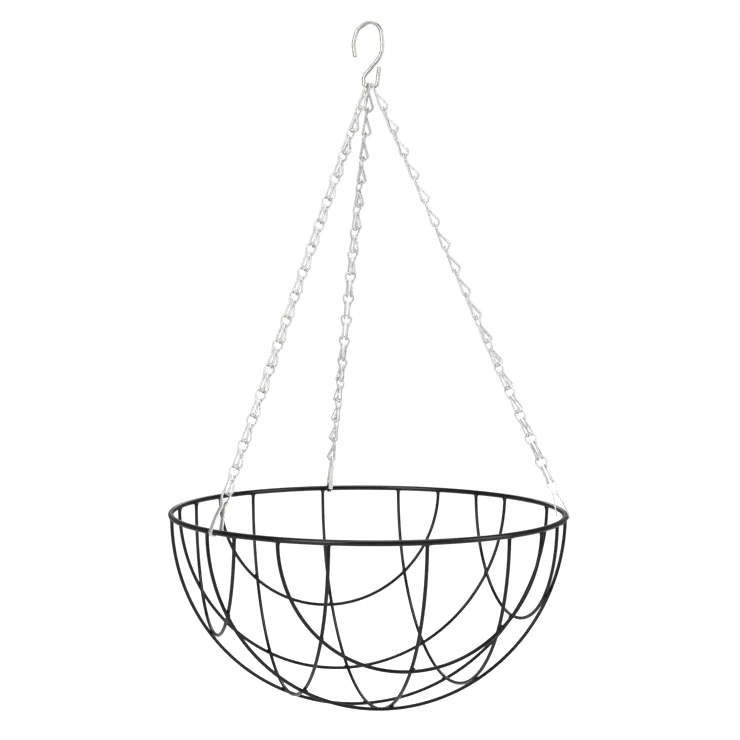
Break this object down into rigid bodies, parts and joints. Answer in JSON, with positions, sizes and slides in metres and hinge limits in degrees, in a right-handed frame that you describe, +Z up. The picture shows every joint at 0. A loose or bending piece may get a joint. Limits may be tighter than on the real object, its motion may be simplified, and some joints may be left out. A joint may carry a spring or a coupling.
{
  "type": "hanging basket",
  "caption": "Round wire hanging basket: open hemispherical bowl of crossed coated wires under a round rim, held by chains with strip clips from a bracket hook.",
  "frame": {"origin": "inside of the hook's top bend, where it sits on a bracket arm", "axes": "+Z up, X and Y along the two sets of bowl wires, Y roughly towards the back chain"},
  "size_m": [0.3555, 0.3568, 0.6138],
  "materials": {
    "black_coating": "satin black powder coat, thick at the welds",
    "chain": "bright zinc plated wire",
    "clip": "bright zinc plated strip",
    "hook": "zinc plated wire, a little darker and warmer than the chain"
  },
  "bodies": {
    "hook": {"hook": "hook"},
    "basket": {"rim": "black_coating", "cross_wires_middle": "black_coating", "cross_wires_ends": "black_coating", "long_wires_middle": "black_coating", "long_wires_ends": "black_coating", "left_clip": "clip", "right_clip": "clip", "back_clip": "clip"},
    "left_chain": {"left_link_01": "chain", "left_link_02": "chain", "left_link_03": "chain", "left_link_04": "chain", "left_link_05": "chain", "left_link_06": "chain", "left_link_07": "chain", "left_link_08": "chain", "left_link_09": "chain", "left_link_10": "chain", "left_link_11": "chain", "left_link_12": "chain", "left_link_13": "chain", "left_link_14": "chain", "left_link_15": "chain", "left_link_16": "chain", "left_link_17": "chain"},
    "right_chain": {"right_link_01": "chain", "right_link_02": "chain", "right_link_03": "chain", "right_link_04": "chain", "right_link_05": "chain", "right_link_06": "chain", "right_link_07": "chain", "right_link_08": "chain", "right_link_09": "chain", "right_link_10": "chain", "right_link_11": "chain", "right_link_12": "chain", "right_link_13": "chain", "right_link_14": "chain", "right_link_15": "chain", "right_link_16": "chain", "right_link_17": "chain"},
    "back_chain": {"back_link_01": "chain", "back_link_02": "chain", "back_link_03": "chain", "back_link_04": "chain", "back_link_05": "chain", "back_link_06": "chain", "back_link_07": "chain", "back_link_08": "chain", "back_link_09": "chain", "back_link_10": "chain", "back_link_11": "chain", "back_link_12": "chain", "back_link_13": "chain", "back_link_14": "chain", "back_link_15": "chain", "back_link_16": "chain", "back_link_17": "chain"}
  },
  "joints": [
    {"name": "basket_swing", "type": "hinge", "parent": "hook", "child": "basket", "pos_m": [0, 0, -0.055], "axis": [0.9634, -0.2681, 0], "range_deg": [-40, 40]},
    {"name": "left_chain_twist", "type": "hinge", "parent": "basket", "child": "left_chain", "pos_m": [-0.00177, 0.00132, -0.05255], "axis": [0.3616, 0.2059, 0.9093], "range_deg": [-4, 4]},
    {"name": "right_chain_twist", "type": "hinge", "parent": "basket", "child": "right_chain", "pos_m": [0.00177, -0.00034, -0.05254], "axis": [-0.3811, 0.1627, 0.9101], "range_deg": [-4, 4]},
    {"name": "back_chain_twist", "type": "hinge", "parent": "basket", "child": "back_chain", "pos_m": [-0.00034, -0.00105, -0.05255], "axis": [-0.0183, -0.4196, 0.9075], "range_deg": [-4, 4]}
  ]
}
